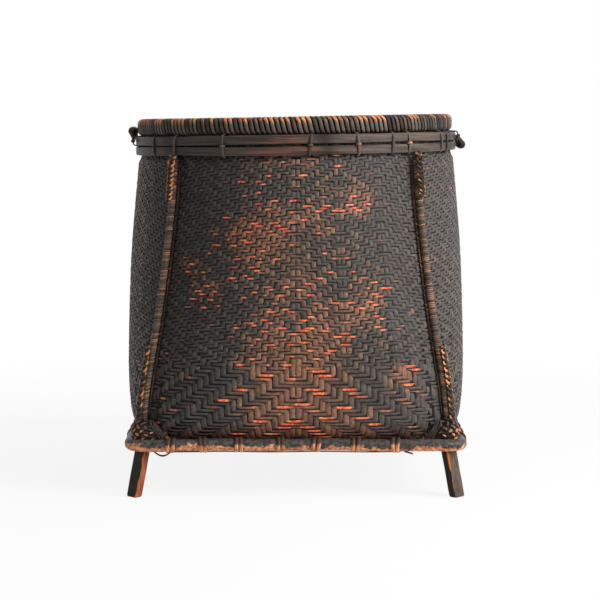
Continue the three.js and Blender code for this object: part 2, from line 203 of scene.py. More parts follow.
# the settings that are fractions become named inputs of the piece's tree, and its mesh is kept
def growPiece(name, settings, build, material, seeds=()):
    sizes = {label: value for label, value in settings.items() if isinstance(value, float)}
    tree = bpy.data.node_groups.new(name + "Tree", "GeometryNodeTree")
    bench = Bench(tree)
    tree.interface.new_socket("Geometry", in_out="OUTPUT", socket_type="NodeSocketGeometry")
    tree.interface.new_socket("seeds", in_out="INPUT", socket_type="NodeSocketGeometry")
    wanted = {}
    for label in sizes:
        door = tree.interface.new_socket(label, in_out="INPUT", socket_type="NodeSocketFloat")
        wanted[label] = door.identifier
    entry = tree.nodes.new("NodeGroupInput")
    given = {label: Sock(bench, entry.outputs[label]) for label in [*sizes, "seeds"]}
    shape = build(bench, Settings(given))
    shape = bench.node("GeometryNodeSetShadeSmooth", None, {"Geometry": shape, "Shade Smooth": True})
    shape = bench.node("GeometryNodeTransform", None, {"Geometry": shape, "Scale": (0.001, 0.001, 0.001)})
    shape = bench.node("GeometryNodeRealizeInstances", None, {"Geometry": shape})
    shape = bench.node("GeometryNodeSetMaterial", None, {"Geometry": shape, "Material": material})
    end = tree.nodes.new("NodeGroupOutput")
    tree.links.new(shape.socket, end.inputs[0])
    piece = added(name, seedMesh(name, seeds))
    grown = piece.modifiers.new(name, "NODES")
    grown.node_group = tree
    for label, value in sizes.items():
        grown[wanted[label]] = value
    graph = bpy.context.evaluated_depsgraph_get()
    mesh = bpy.data.meshes.new_from_object(
        piece.evaluated_get(graph), preserve_all_data_layers=True, depsgraph=graph)
    piece.modifiers.clear()
    piece.data = mesh
    print(name, len(mesh.polygons), "faces")
    return piece


def settle(piece, slot, *nodes, body="basket"):  # put a piece on its body and in place of its solids
    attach(piece, body)
    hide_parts(*nodes)


def store(shape, name, value, kind="FLOAT"):
    return shape.bench.node(
        "GeometryNodeStoreNamedAttribute", {"data_type": kind, "domain": "POINT"},
        {"Geometry": shape, "Name": name, "Value": value})


def stored(bench, name, kind="FLOAT"):
    return bench.node("GeometryNodeInputNamedAttribute", {"data_type": kind}, {"Name": name})


def moved(shape, move, turn=(0, 0, 0)):
    return shape.bench.node(
        "GeometryNodeTransform", None, {"Geometry": shape, "Rotation": turn, "Translation": move})


def joined(bench, *shapes):
    both = bench.tree.nodes.new("GeometryNodeJoinGeometry")
    for shape in shapes:
        bench.tree.links.new(shape.socket, both.inputs[0])
    return Sock(bench, both.outputs[0])


def circuit(bench, samples):  # points once round, with their cosine and sine
    index = bench.index()
    angle = index * (2 * math.pi / samples)
    return index, cos(angle), sin(angle)


def laid(bench, samples):  # which strand each point is on, and its share of the way along
    strand, step = split(bench.index(), samples)
    return strand, step / (samples - 1)


def onSeeds(seeds, shape):  # a copy of the shape at each seed, turned by its stored angles
    bench = seeds.bench
    turn = vector(stored(bench, "tilt"), 0.0, stored(bench, "turn"))
    turn = bench.node("FunctionNodeEulerToRotation", None, {0: turn})
    return bench.node(
        "GeometryNodeInstanceOnPoints", None, {"Points": seeds, "Instance": shape, "Rotation": turn})


def roughened(cane, scale, amount, middle):  # a surface pushed in and out by noise
    bench = cane.bench
    spot = bench.node("GeometryNodeInputPosition")
    knob = bench.node("ShaderNodeTexNoise", None, {"Vector": spot, "Scale": scale, "Detail": 2.0})
    push = scaled(bench.node("GeometryNodeInputNormal"), (knob - middle) * amount)
    return bench.node("GeometryNodeSetPosition", None, {"Geometry": cane, "Offset": push})


# points, then curves through them in the order of along, then a section drawn along each curve
def strands(count, position, lie, strand, along, profile, tones, cyclic=False, scale=1.0, beside=(0, 0, 1)):
    bench = position.bench
    points = bench.node("GeometryNodePoints", None, {"Count": count, "Position": position})
    for name, way in (("lie", lie), ("beside", beside)):
        points = store(points, name, way, "FLOAT_VECTOR")
    for name, value in [*tones.items(), ("girth", scale)]:
        points = store(points, name, value)
    lines = bench.node(
        "GeometryNodePointsToCurves", None, {"Points": points, "Curve Group ID": strand, "Weight": along})
    lines = bench.node("GeometryNodeSetSplineCyclic", None, {"Geometry": lines, "Cyclic": cyclic})
    facing = stored(bench, "lie", "FLOAT_VECTOR")
    lines = bench.node("GeometryNodeSetCurveNormal", {"mode": "FREE"}, {"Curve": lines, "Normal": facing})
    strip = bench.node(
        "GeometryNodeCurveToMesh", None,
        {"Curve": lines, "Profile Curve": profile, "Scale": stored(bench, "girth"), "Fill Caps": True})
    for name, way in (("crown", "lie"), ("across", "beside")):  # how far a face looks out, and aside
        share = bench.node(
            "ShaderNodeVectorMath", {"operation": "DOT_PRODUCT"},
            {0: bench.node("GeometryNodeInputNormal"), 1: stored(bench, way, "FLOAT_VECTOR")}, "Value")
        strip = store(strip, name, share)
    for name in ("lie", "beside", "girth"):
        strip = bench.node("GeometryNodeRemoveAttribute", None, {"Geometry": strip, "Name": name})
    return strip


def circle(bench, sides, radius):
    return bench.node("GeometryNodeCurvePrimitiveCircle", None, {"Resolution": sides, "Radius": radius})


def lens(width, thick, sides=6):  # a flat strip's section, its width along the curve's side
    reach = vector(thick * 0.5, width * 0.5, 1.0)
    ring = circle(width.bench, sides, 1.0)
    return width.bench.node("GeometryNodeTransform", None, {"Geometry": ring, "Scale": reach})


def flatStrip(width, thick):  # a split strip's section: flat outside, sharp at the edges
    half, deep = width * 0.5, thick * 0.5
    ends = ((-deep, -half), (deep, half * -0.84), (deep, half * 0.84), (-deep, half))
    corners = {"Point %d" % (i + 1): vector(x, y, 0.0) for i, (x, y) in enumerate(ends)}
    return width.bench.node("GeometryNodeCurvePrimitiveQuadrilateral", {"mode": "POINTS"}, corners)


def stripTones(strand, run, grain, seed):  # what a strip's finish reads
    return {"strandTone": chance(strand, seed), "floatTone": chance(run, seed + 1), "grain": grain}


# camera at rim height, looking slightly down, two metres in front
cameraPlace = Settings(
    side=0.0041, back=2.0, height=0.352,
    horizonRow=117.5, middleRow=300, focalPixels=2010.0,
)


def makeCamera():
    eye = bpy.data.cameras.new("photoCamera")
    eye.sensor_fit = "HORIZONTAL"
    eye.angle = 2 * math.atan(cameraPlace.middleRow / cameraPlace.focalPixels)
    camera = added("photoCamera", eye)
    camera.location = (cameraPlace.side, -cameraPlace.back, cameraPlace.height)
    dip = math.atan((cameraPlace.middleRow - cameraPlace.horizonRow) / cameraPlace.focalPixels)
    camera.rotation_euler = (math.pi / 2 - dip, 0, 0)
    bpy.context.scene.camera = camera


makeCamera()
print("camera set")

# the woven wall's shape in millimetres: half-widths by height, square below and round above
bodyShape = Settings(
    side=[
        (145.66, 50.87), (149.25, 56.0), (159.5, 72.2), (165.0, 124.2), (163.8, 219.2), (156.2, 309.5)],
    collar=[(153.0, 314.5), (153.0, 340.2)],
    floor=48.1, roundHeight=279.2, squareness=0.14, rounding=1.7,
    lean=math.radians(1.0), belly=124.2, neck=309.5, mouthHeight=317.5,
    bends=28, leastHalf=140, halfSpan=30,
)


def smoothLine(knots, steps):  # points on a smooth curve through the knots
    made = []
    for i in range(len(knots) - 1):
        before, here, there, after = (knots[max(0, min(len(knots) - 1, i + k))] for k in (-1, 0, 1, 2))
        for step in range(steps):
            t = step / steps
            spot = []
            for a, b, c, d in zip(before, here, there, after):
                out, back = (c - a) / 2, (d - b) / 2
                turn = (2 * b - 2 * c + out + back) * t ** 3 + (3 * c - 3 * b - 2 * out - back) * t ** 2
                spot.append(turn + out * t + b)
            made.append(tuple(spot))
    return made + [tuple(knots[-1])]


sideLine = smoothLine(bodyShape.side, 6) + bodyShape.collar


def sideHalf(height):
    for (halfA, low), (halfB, high) in zip(sideLine, sideLine[1:]):
        if height <= high:
            return halfA + (halfB - halfA) * max(0.0, height - low) / (high - low)
    return sideLine[-1][0]


def halfAt(height):  # the wall's half-width at a height
    low, high = sideLine[0][1], sideLine[-1][1]
    count, base, span = bodyShape.bends, bodyShape.leastHalf, bodyShape.halfSpan
    bends = []
    for i in range(count + 1):
        share = i / count
        bends.append((share, (sideHalf(low + (high - low) * share) - base) / span))
    return curved((height - low) / (high - low), bends) * span + base


def squareAt(height):  # 1 at the floor, 0 where the wall has become round
    low, high = bodyShape.floor, bodyShape.roundHeight
    climb = least(most((height - low) / (high - low), 0.0), 1.0)
    return (1 - climb) ** bodyShape.rounding


def wallPoint(across, panel, height, lift):  # across runs from -1 to 1 over a side
    square = squareAt(height)
    power = mix(square, 0.5, bodyShape.squareness)
    turn = mix(square, across * (math.pi / 4), arctangent(across))
    near, off = cos(turn), sin(turn)
    bend = 1 / power
    reach = halfAt(height) / (near ** bend + abs(off) ** bend) ** power
    slope = (halfAt(height + 1.5) - halfAt(height - 1.5)) / 3
    faceX, faceY = near ** (bend - 1), soften(off, bend - 1)
    long = root(faceX * faceX + faceY * faceY)
    quarter = panel * (math.pi / 2)
    facing = unit(vector(*turned(faceX / long, faceY / long, quarter), -slope))
    x, y = (part * reach for part in turned(near, off, quarter))
    rise = x * math.sin(bodyShape.lean) * fade(height, bodyShape.belly, bodyShape.neck)
    return plus(vector(x, y, height + rise), scaled(facing, lift)), facing


def inMouth(shape):  # from the mouth's own level to its lean and height
    return moved(shape, (0, 0, bodyShape.mouthHeight), (0, -bodyShape.lean, 0))


# the twill: stakes up each side, rows that get finer towards the mouth; least and spread say
# how much the strips differ
twill = Settings(
    stakesPerSide=56, coarsePitch=3.35, finePitch=2.55, coarseTop=120.2, fineFrom=132.2,
    lowRow=51.4, highRow=335.2, thick=0.8, lift=0.62, depth=1.5,
    weftWidth=0.95, stakeWidth=1.02, bends=24, liftLeast=0.8, liftSpread=0.35,
    weftLeast=0.86, weftSpread=0.28, stakeLeast=0.9, stakeSpread=0.16,
)


def rowHeights():
    made, height = [], twill.lowRow
    while height < twill.highRow:
        made.append(height)
        share = (height - twill.coarseTop) / (twill.fineFrom - twill.coarseTop)
        height += mix(min(1, max(0, share)), twill.coarsePitch, twill.finePitch)
    return made


rows = rowHeights()
splitRow = min(range(len(rows)), key=lambda i: abs(rows[i] - twill.coarseTop))


def rowHeight(row):
    low, high = rows[0], rows[-1]
    bends = []
    for i in range(twill.bends + 1):
        share = i / twill.bends
        spot = share * (len(rows) - 1)
        k = min(int(spot), len(rows) - 2)
        bends.append((share, (mix(spot - k, rows[k], rows[k + 1]) - low) / (high - low)))
    return curved(row / (len(rows) - 1), bends) * (high - low) + low


def crossing(stake, row):  # how far a row lies over a stake, and the float it belongs to
    half = twill.stakesPerSide / 2
    fromMiddle = abs(stake - (half - 0.5))
    coarse = (fromMiddle + row + 1) / 6  # over three and under three, stepping up to the middle
    zig = mix(stake > half, fromMiddle, pingPong(fromMiddle, 9.0))
    fine = (zig - row + 401) / 4  # over two and under two, the other way and in zigzags on one half
    upper = row > splitRow
    phase = mix(upper, coarse, fine)
    over = sin((phase + mix(upper, 1 / 12, 1 / 8)) * (2 * math.pi))
    return over, math.floor(phase) * 2 + (stake > (half - 0.5))


def stakePitch(height, perSide):  # the room for one of so many strips side by side
    return halfAt(height) * mix(squareAt(height), 2 * math.pi, 8) / (perSide * 4)


def wefts(bench, size):
    around = twill.stakesPerSide * 4
    row, step = split(bench.index(), around)
    panel, stake = split(step, twill.stakesPerSide)
    across = (stake + 0.5) / twill.stakesPerSide * 2 - 1
    height = rowHeight(row)
    over, run = crossing(stake, row)
    key = row * 997 + panel * 131 + run
    lift = over * size.lift * (size.liftLeast + chance(key, 8) * size.liftSpread) - size.depth
    drift = sin(row * 2.3 + step * 0.31) * 0.22 + (chance(key, 9) - 0.5) * 0.5
    place, facing = wallPoint(across, panel, height + drift, lift)
    upper = fade(height, twill.coarseTop, twill.fineFrom)
    pitch = mix(upper, twill.coarsePitch, twill.finePitch)
    girth = pitch * (size.weftLeast + chance(key, 10) * size.weftSpread)
    tones = {
        "strandTone": chance(row, 3), "floatTone": chance(key, 7),
        "over": over, "grain": step * 6, "weft": over * 0 + 1}
    section = flatStrip(size.weftWidth, size.thick / twill.coarsePitch)
    return strands(len(rows) * around, place, facing, row, step, section, tones, True, girth)


def stakes(bench, size):
    strand, row = split(bench.index(), len(rows))
    panel, stake = split(strand, twill.stakesPerSide)
    over, run = crossing(stake, row)
    key = strand * 991 + run
    drift = sin(strand * 1.7 + row * 0.13) * 0.06 + (chance(key, 12) - 0.5) * 0.1
    across = (stake + 0.5 + drift) / twill.stakesPerSide * 2 - 1
    height = rowHeight(row)
    lift = over * -size.lift * (size.liftLeast + chance(key, 13) * size.liftSpread) - size.depth
    place, facing = wallPoint(across, panel, height, lift)
    pitch = stakePitch(height, twill.stakesPerSide)
    girth = pitch * (size.stakeLeast + chance(key, 14) * size.stakeSpread)
    tones = {
        "strandTone": chance(strand, 5), "floatTone": chance(key, 11),
        "over": -over, "grain": height, "weft": over * 0}
    count = len(rows) * twill.stakesPerSide * 4
    section = flatStrip(size.stakeWidth, size.thick / 6)
    return strands(count, place, facing, strand, row, section, tones, False, girth, sideways(facing))


def clearTree(holder):  # a bench on a material's or a world's emptied tree
    holder.use_nodes = True
    holder.node_tree.nodes.clear()
    return Bench(holder.node_tree)


def toOutput(shader, kind):
    tree = shader.bench.tree
    tree.links.new(shader.socket, tree.nodes.new(kind).inputs[0])


def finish(name, paint):
    material = bpy.data.materials.new(name)
    bench = clearTree(material)
    values = {**paint(bench), "Specular IOR Level": 0.14}
    toOutput(bench.node("ShaderNodeBsdfPrincipled", None, values), "ShaderNodeOutputMaterial")
    return material


def rgb(red, green, blue):  # a colour as seen on screen, made linear
    def line(v):
        v = v / 255
        return v / 12.92 if v <= 0.04045 else ((v + 0.055) / 1.055) ** 2.4
    return (line(red), line(green), line(blue), 1.0)


def noise(where, scale, detail=3.0, rough=0.55):
    return where.bench.node(
        "ShaderNodeTexNoise", None, {"Vector": where, "Scale": scale, "Detail": detail, "Roughness": rough})


def surface(base, rough, height, strength=0.35, deep=0.0006):  # what a finish hands to its shader
    lump = base.bench.node(
        "ShaderNodeBump", None, {"Strength": strength, "Distance": deep, "Height": height})
    return {"Base Color": base, "Roughness": rough, "Normal": lump}


def fibres(tone, stretch, across):  # noise drawn out along a strip
    return noise(vector(tone * 83, tone.bench.tone("grain") * stretch, across), 1.7, 4.0)


def stripLook(bench):  # a strip's own tone, how far its surface looks out, and the grain along it
    crown = abs(bench.tone("crown"))
    return bench.tone("floatTone"), crown, fibres(bench.tone("strandTone"), 0.07, crown * 2.4)


# where the smoke-black has been rubbed off: a column up each side's middle, more so low down,
# and spots on the front by their place across, height and radius; smoke, the left side darkened
# as painted shade away from the key light, and flank are bounds across the basket, and foot in height
wearShape = Settings(
    column=0.055, low=0.119, share=0.4, clusters=0.34,
    smoke=(-0.12, 0.01), flank=(0.13, 0.15), foot=(0.054, 0.07),
    spots=[
        (0.059, 0.281, 0.015), (0.066, 0.181, 0.02), (-0.045, 0.235, 0.024),
        (-0.1, 0.215, 0.012), (-0.084, 0.19, 0.014), (0.1, 0.115, 0.013)],
)


def paintWeave(bench):
    where = bench.place()
    x, y, z = (axis(where, name) for name in "XYZ")
    strand, run, over, weft, across = (
        bench.tone(name) for name in ("strandTone", "floatTone", "over", "weft", "across"))
    fibre = fibres(strand, 0.06, across * 3.2)
    grit = fade(noise(where, 380.0, 2.0), 0.3, 0.7)
    stain = noise(where, 11.0, 2.0)
    column = 1 / (1 + (least(abs(x), abs(y)) / wearShape.column) ** 3)
    low = 1 - fade(z, wearShape.low, wearShape.low * 1.5)
    heat = column * (0.68 + low * 0.6) + fade(stain, 0.58, 0.72) * wearShape.clusters
    for spotX, spotZ, radius in wearShape.spots:
        wide, tall = (x - spotX) / radius, (z - spotZ) / radius
        heat = heat + (y < 0) * 0.85 / (1 + (wide * wide + tall * tall) ** 2)
    # painted shade: 1 on the left side, away from the key light, where the strips are darkened and their
    # edges blackened below
    smoke = 1 - fade(x, *wearShape.smoke)
    flank = fade(abs(x), *wearShape.flank)
    heat = heat - smoke * 0.2 - flank * 0.3
    tone = strand * 0.15 + run * 0.3 + fibre * 0.2 + grit * 0.35
    base = blend(tone, rgb(46, 43, 41), rgb(101, 95, 89))
    brown = blend(tone, rgb(73, 51, 42), rgb(170, 124, 100))
    patch = noise(where, 26.0, 3.0, 0.65)
    base = blend(fade(heat * 0.54 + patch + run * 0.3, 0.86, 1.3) * 0.92, base, brown)
    base = blend(smoke * (0.76 - tone * 0.55 - low * 0.2), base, rgb(20, 17, 16))
    # painted highlights: pale flecks on the raised floats at the sides, more of them on the left
    pale = fade(run * 0.7 + fibre * 0.6, 0.62, 0.92) * fade(over, 0.0, 0.6) * flank
    base = blend(pale * (0.08 + smoke * 0.34), base, rgb(170, 144, 131))
    foot = 1 - fade(z, *wearShape.foot)
    base = blend(foot * 0.6, base, rgb(104, 52, 34))
    worn = fade(run + heat * wearShape.share + fibre * 0.24, 1.1, 1.22) * weft
    worn = worn * fade(over + grit * 0.5, 0.1, 0.8) * (1 - fade(abs(across), 0.34, 0.6))
    bare = blend(fade(fibre * 0.6 + grit * 0.4, 0.3, 0.75), rgb(226, 72, 36), rgb(250, 156, 112))
    base = blend(worn, base, bare)
    shade = abs(across) + weft * most(across * -0.4, 0.0) + (1 - fade(over, -0.1, 0.45)) * 0.4
    shade = fade(shade + smoke * 0.12, 0.46, 0.9)
    base = blend(shade, base, blend(smoke, rgb(62, 56, 51), rgb(8, 7, 7)))
    return surface(base, 0.42 + fibre * 0.22, fibre, 0.3, 0.0005)


def paintStrip(dark, light, warm, wornShare, crest=0.8, edge=rgb(12, 10, 9)):  # cane, worn on its crests
    def paint(bench):
        run, crown, fibre = stripLook(bench)
        stain = noise(bench.place(), 23.0)
        base = blend(fade(fibre * 0.6 + run * 0.4, 0.2, 0.75), dark, light)
        worn = fade(run + fibre * 0.5 + stain * 0.5, 1.55 - wornShare, 1.75 - wornShare)
        base = blend(worn * fade(crown, crest - 0.5, crest), base, warm)
        # painted shade: the strip darkens to the edge colour where its surface turns away from its face, for
        # the shade between strips
        base = blend(fade(crown, 0.05, 0.65), edge, base)
        return surface(base, 0.4 + fibre * 0.3, fibre)
    return paint


weaveFinish = finish("weaveFinish", paintWeave)
settle(growPiece("wovenRows", twill, wefts, weaveFinish), "weave", "woven_body")
settle(growPiece("wovenStakes", twill, stakes, weaveFinish), "weave", "woven_body")

# dark strips behind the crossings, so that no light comes through; their near-black colour is painted shade
# for the gaps between strips
shadeSheetShape = Settings(
    bottom=48.6, samples=60, perSide=16, width=1.12, thick=0.02, depth=twill.depth,
)


def wovenHeart(bench, size):
    each, perSide = shadeSheetShape.samples, shadeSheetShape.perSide
    strand, share = laid(bench, each)
    panel, lane = split(strand, perSide)
    across = (lane + 0.5) / perSide * 2 - 1
    height = mix(share, shadeSheetShape.bottom, twill.highRow)
    place, facing = wallPoint(across, panel, height, -size.depth)
    return strands(
        each * perSide * 4, place, facing, strand, share, flatStrip(size.width, size.thick),
        stripTones(strand, strand, height, 91), scale=stakePitch(height, perSide))


# painted shade: a near-black finish for the sheet seen through the gaps
shadeSheetFinish = finish("shadeSheetFinish", paintStrip(rgb(10, 9, 8), rgb(24, 20, 18), rgb(34, 24, 19), 0.1))
settle(growPiece("wovenHeart", shadeSheetShape, wovenHeart, shadeSheetFinish), "weave", "woven_body")
print("wall woven")

# rim: a hoop closely wrapped with split cane, in three runs side by side
rimShape = Settings(
    radius=147.3, middle=27.3, halfWidth=6.7, halfHeight=7.0, softness=0.58,
    wraps=196, runs=3, samples=16, stripWidth=4.3, stripThick=2.8,
    coreWidth=12.6, coreSamples=160, shift=-0.7,
)


def rimWrap(bench, size):
    index = bench.index()
    wrap = index / rimShape.samples
    wind = wrap * (-2 * math.pi)
    turn = wrap * (2 * math.pi * rimShape.runs / rimShape.wraps) - math.pi / 2
    out, up = cos(wind), sin(wind)
    reach = size.radius + soften(out, rimShape.softness) * size.halfWidth
    rise = size.middle + soften(up, rimShape.softness) * size.halfHeight
    c, s = cos(turn), sin(turn)
    run = math.floor(wrap + 0.5)
    wrapped = strands(
        rimShape.wraps * rimShape.samples, vector(reach * c, reach * s, rise),
        vector(out * c, out * s, up), index * 0, index, lens(size.stripWidth, size.stripThick, 8),
        dict(stripTones(run, run, wrap * 46, 21), climb=up), True)
    index, c, s = circuit(bench, rimShape.coreSamples)
    core = strands(
        rimShape.coreSamples, vector(size.radius * c, size.radius * s, size.middle),
        vector(c, s, 0.0), index * 0, index, lens(size.coreWidth, size.coreWidth, 10),
        dict(stripTones(index * 0, index * 0, index, 25), climb=index * 0 - 2), True)
    return moved(inMouth(joined(bench, wrapped, core)), (rimShape.shift, 0, 0))


def paintRim(bench):  # black between the turns, rubbed to bare cane where they look up
    run, crown, fibre = stripLook(bench)
    climb = bench.tone("climb")
    base = blend(fade(fibre * 0.6 + run * 0.4, 0.2, 0.75), rgb(40, 36, 34), rgb(112, 99, 87))
    worn = fade(run * 0.7 + fibre * 0.8, 0.6, 0.95) * fade(climb, -0.9, 0.3)
    worn = worn * fade(bench.tone("across"), 0.12, 0.42) * fade(crown, 0.35, 0.7)
    base = blend(worn, base, blend(fibre, rgb(170, 88, 46), rgb(244, 172, 116)))
    # painted shade: near black where the wraps turn away from their faces, and all over the core that shows
    # between them
    base = blend(fade(crown, 0.5, 0.92) * fade(climb, -1.6, -1.2), rgb(9, 8, 8), base)
    return surface(base, 0.4 + fibre * 0.3, fibre)


rimFinish = finish("rimFinish", paintRim)
settle(growPiece("rimWrapping", rimShape, rimWrap, rimFinish), "lashing", "wrapped_rim")
print("rim wrapped")

# bands: split bamboo hoops, two outside the wall and one inside
bandShape = Settings(
    samples=216, bend=1.3, bendSteps=3, knuckle=0.35, sharpness=40,
    upperBand=Settings(radius=155.6, middle=14.3, thick=4.6, tall=8.4, wave=0.32, start=4.2),
    lowerBand=Settings(radius=155.6, middle=4.4, thick=4.6, tall=8.4, wave=0.32, start=1.0),
    innerBand=Settings(radius=147.5, middle=9.25, thick=4.0, tall=18.0, wave=0.2, start=4.0),
)


def rectangle(bench, width, height, bend, count):  # with rounded corners
    box = bench.node(
        "GeometryNodeCurvePrimitiveQuadrilateral", {"mode": "RECTANGLE"}, {"Width": width, "Height": height})
    return bench.node(
        "GeometryNodeFilletCurve", {"mode": "POLY"}, {"Curve": box, "Radius": bend, "Count": count})


def bandHoop(bench, size):
    index, samples = bench.index(), bandShape.samples
    turn = index * (2 * math.pi / samples)
    wave = sin(turn * 2 + size.start) + sin(turn * 6 + size.start * 3) * 0.5
    wave = wave * size.wave
    # a bamboo joint every sixth of the way round
    knuckle = (cos(turn * 3 + size.start) ** 2) ** bandShape.sharpness
    c, s = cos(turn), sin(turn)
    reach = size.radius + knuckle * bandShape.knuckle + wave * 0.25
    tones = {"strandTone": size.start / 7, "floatTone": knuckle, "grain": turn * size.radius}
    section = rectangle(bench, size.thick, size.tall, bandShape.bend, bandShape.bendSteps)
    spot = vector(reach * c, reach * s, size.middle + wave)
    return inMouth(strands(samples, spot, vector(c, s, 0.0), index * 0, index, section, tones, True))


def paintBand(bench):
    where = bench.place()
    strand, knuckle, crown = (bench.tone(name) for name in ("strandTone", "floatTone", "crown"))
    aside = axis(where, "X")
    # painted shade: the left side, away from the key light, is darkened
    smoke = 1 - fade(aside, -0.14, 0.06)
    middle = 1 / (1 + (aside / 0.04) ** 2)
    fibre = noise(vector(strand * 40, bench.tone("grain") * 0.018, axis(where, "Z") * 620), 1.0, 4.0)
    stain = fade(fibre + noise(where, 14.0) * 0.7 + middle * 0.16, 0.98, 1.14)
    base = blend(fade(fibre, 0.32, 0.7), rgb(58, 52, 47), rgb(98, 88, 79))
    base = blend(smoke * 0.5, base, rgb(24, 21, 20))
    base = blend(stain * 0.75, base, rgb(146, 76, 54))
    base = blend(knuckle * 0.7, base, rgb(30, 24, 22))
    # painted shade: darker red-brown where the hoop's faces turn away from the front, towards the gaps
    # between the bands
    base = blend(fade(crown, 0.0, 0.7), rgb(40, 26, 22), base)
    return surface(base, 0.36 + fibre * 0.25, fibre, 0.3, 0.0007)


bandFinish = finish("bandFinish", paintBand)
for bandName, node in (("upperBand", "upper_band"), ("lowerBand", "lower_band"), ("innerBand", "inner_band")):
    settle(growPiece(bandName, bandShape[bandName], bandHoop, bandFinish), "band", node)
print("bands set")

# ties: loops of thin cane through the wall and round the bands
tieShape = Settings(
    angles=[-58, -45.8, -25, 4.6, 21.8, 34.8, 42.4, 61.8, 66.5], tilts=[3, -2, 2, -7, 4, -3, 2, 2, -1],
    inner=144.6, outer=158.9, bottom=-1.5, top=19.9, width=2.9, thick=1.6,
    samples=28, softness=0.6,
)
earTieShape = Settings(
    offset=28.0, pivot=158.98, inner=151.0, outer=161.3, bottom=9.9, top=18.7,
    width=3.2, thick=1.3,
)
hitchShape = Settings(
    ties=[2, 3, 4, 6], reach=158.7, level=9.3, half=2.0, width=2.3, thick=1.3,
    samples=14,
)


def softSwing(low, high, swing):  # from low to high and back, resting at both
    return (high + low) / 2 + soften(swing, tieShape.softness) * (high - low) / 2


def tieLoop(bench, size):
    index, out, up = circuit(bench, tieShape.samples)
    reach = softSwing(size.inner, size.outer, out)
    rise = softSwing(size.bottom, size.top, up)
    loop = strands(
        tieShape.samples, vector(reach, 0.0, rise), vector(out, 0.0, up), index * 0, index,
        lens(size.width, size.thick), {"grain": index * 2.0}, True)
    return inMouth(onSeeds(size.seeds, loop))


def tieHitch(bench, size):  # a turn of strip round a tie, between the bands
    index, out, along = circuit(bench, hitchShape.samples)
    spot = vector(size.reach + out * size.half, along * size.half, size.level)
    ring = strands(
        hitchShape.samples, spot, vector(out, along, 0.0), index * 0, index,
        lens(size.width, size.thick), {"grain": index * 2.0}, True)
    return inMouth(onSeeds(size.seeds, ring))


def loopSeed(turn, tilt, strandTone, floatTone, at=(0, 0, 0)):
    return {"at": at, "turn": turn, "tilt": tilt, "strandTone": strandTone, "floatTone": floatTone}


def tieSeeds():
    made = []
    for middle in (-90, 90):
        for i, (angle, tilt) in enumerate(zip(tieShape.angles, tieShape.tilts)):
            made.append(loopSeed(
                math.radians(middle + angle), math.radians(tilt),
                (i * 0.37 + middle * 0.01) % 1, (i * 0.61 + 0.3) % 1))
    return made


def earTieSeeds():
    swing = math.atan2(earTieShape.offset, earTieShape.pivot)
    return [
        loopSeed(middle + side * swing, 0.03 * side, 0.4, 0.5)
        for middle in (0, math.pi) for side in (-1, 1)]


tieFinish = finish("tieFinish", paintStrip(rgb(46, 41, 38), rgb(100, 90, 81), rgb(160, 100, 66), -0.15))
hitchFinish = finish("hitchFinish", paintStrip(rgb(66, 54, 46), rgb(122, 100, 84), rgb(196, 130, 88), 0.4))
hitchSeeds = [tieSeeds()[i] for i in hitchShape.ties]
tieNodes = ["band_tie_%s_%d" % (side, i + 1) for side in ("front", "back") for i in range(8)]
earTieNodes = ["ear_tie_%s_%s" % (side, end) for side in ("left", "right") for end in ("front", "back")]
settle(growPiece("bandTies", tieShape, tieLoop, tieFinish, tieSeeds()), "lashing", *tieNodes)
settle(growPiece("earTies", earTieShape, tieLoop, tieFinish, earTieSeeds()), "lashing", *earTieNodes)
settle(growPiece("tieHitches", hitchShape, tieHitch, hitchFinish, hitchSeeds), "lashing", *tieNodes)
print("ties set")

# ears: small cane bails, thin at the feet and thick across
earShape = Settings(
    reach=10.0, half=34.0, seatHalf=17.0, foot=3.4, bar=8.6, pivot=158.98, level=14.3,
    leftRise=80.0, rightRise=-65.0, steps=11, sides=14, thinShare=0.16, swellShare=0.2,
    sunk=0.7, knobs=0.9, knobScale=0.12,
)


def earSeeds(facing, rise):
    reach, seat, foot = earShape.reach, earShape.seatHalf, earShape.foot
    knots = [
        (0, earShape.half), (0, seat + foot * 1.5), (reach * 0.3, seat + foot * 0.3),
        (reach * 0.85, seat - foot * 0.6), (reach, seat - foot * 1.8), (reach, 0)]
    half = smoothLine(knots, earShape.steps)
    line = half + [(x, -y) for x, y in reversed(half[:-1])]
    made = []
    for i, (x, y) in enumerate(line):
        share = i / (len(line) - 1)
        fromEnd = 0.5 - abs(share - 0.5)
        swell = min(1, max(0, (fromEnd - earShape.thinShare) / earShape.swellShare))
        girth = foot + (earShape.bar - foot) * swell * swell * (3 - 2 * swell)
        out = (earShape.pivot + x * math.cos(rise)) * facing
        up = earShape.level + x * math.sin(rise)
        across, high = turnedFlat(out, up, bodyShape.lean)
        spot = (across, y, bodyShape.mouthHeight + high)
        made.append({"at": spot, "line": 0.0, "girth": girth, "grain": share * 110.0})
    return made


def caneAlong(bench, size):  # a round cane through the seeds, as thick as each says
    line = bench.node("GeometryNodeMeshToCurve", None, {"Mesh": size.seeds})
    ring = circle(bench, earShape.sides, 0.5)
    cane = bench.node(
        "GeometryNodeCurveToMesh", None,
        {"Curve": line, "Profile Curve": ring, "Scale": stored(bench, "girth"), "Fill Caps": True})
    return roughened(cane, size.knobScale, size.knobs, earShape.sunk)


def paintCane(bench):  # handled round cane, smoke-black with rubbed places
    where = bench.place()
    fibre = noise(where, 260.0, 4.0)
    stain = noise(where, 42.0)
    base = blend(fade(fibre, 0.35, 0.68), rgb(30, 26, 24), rgb(58, 48, 42))
    base = blend(fade(stain + fibre * 0.4, 0.74, 0.92), base, rgb(104, 52, 38))
    return surface(base, 0.38 + stain * 0.3, fibre, 0.4, 0.0008)


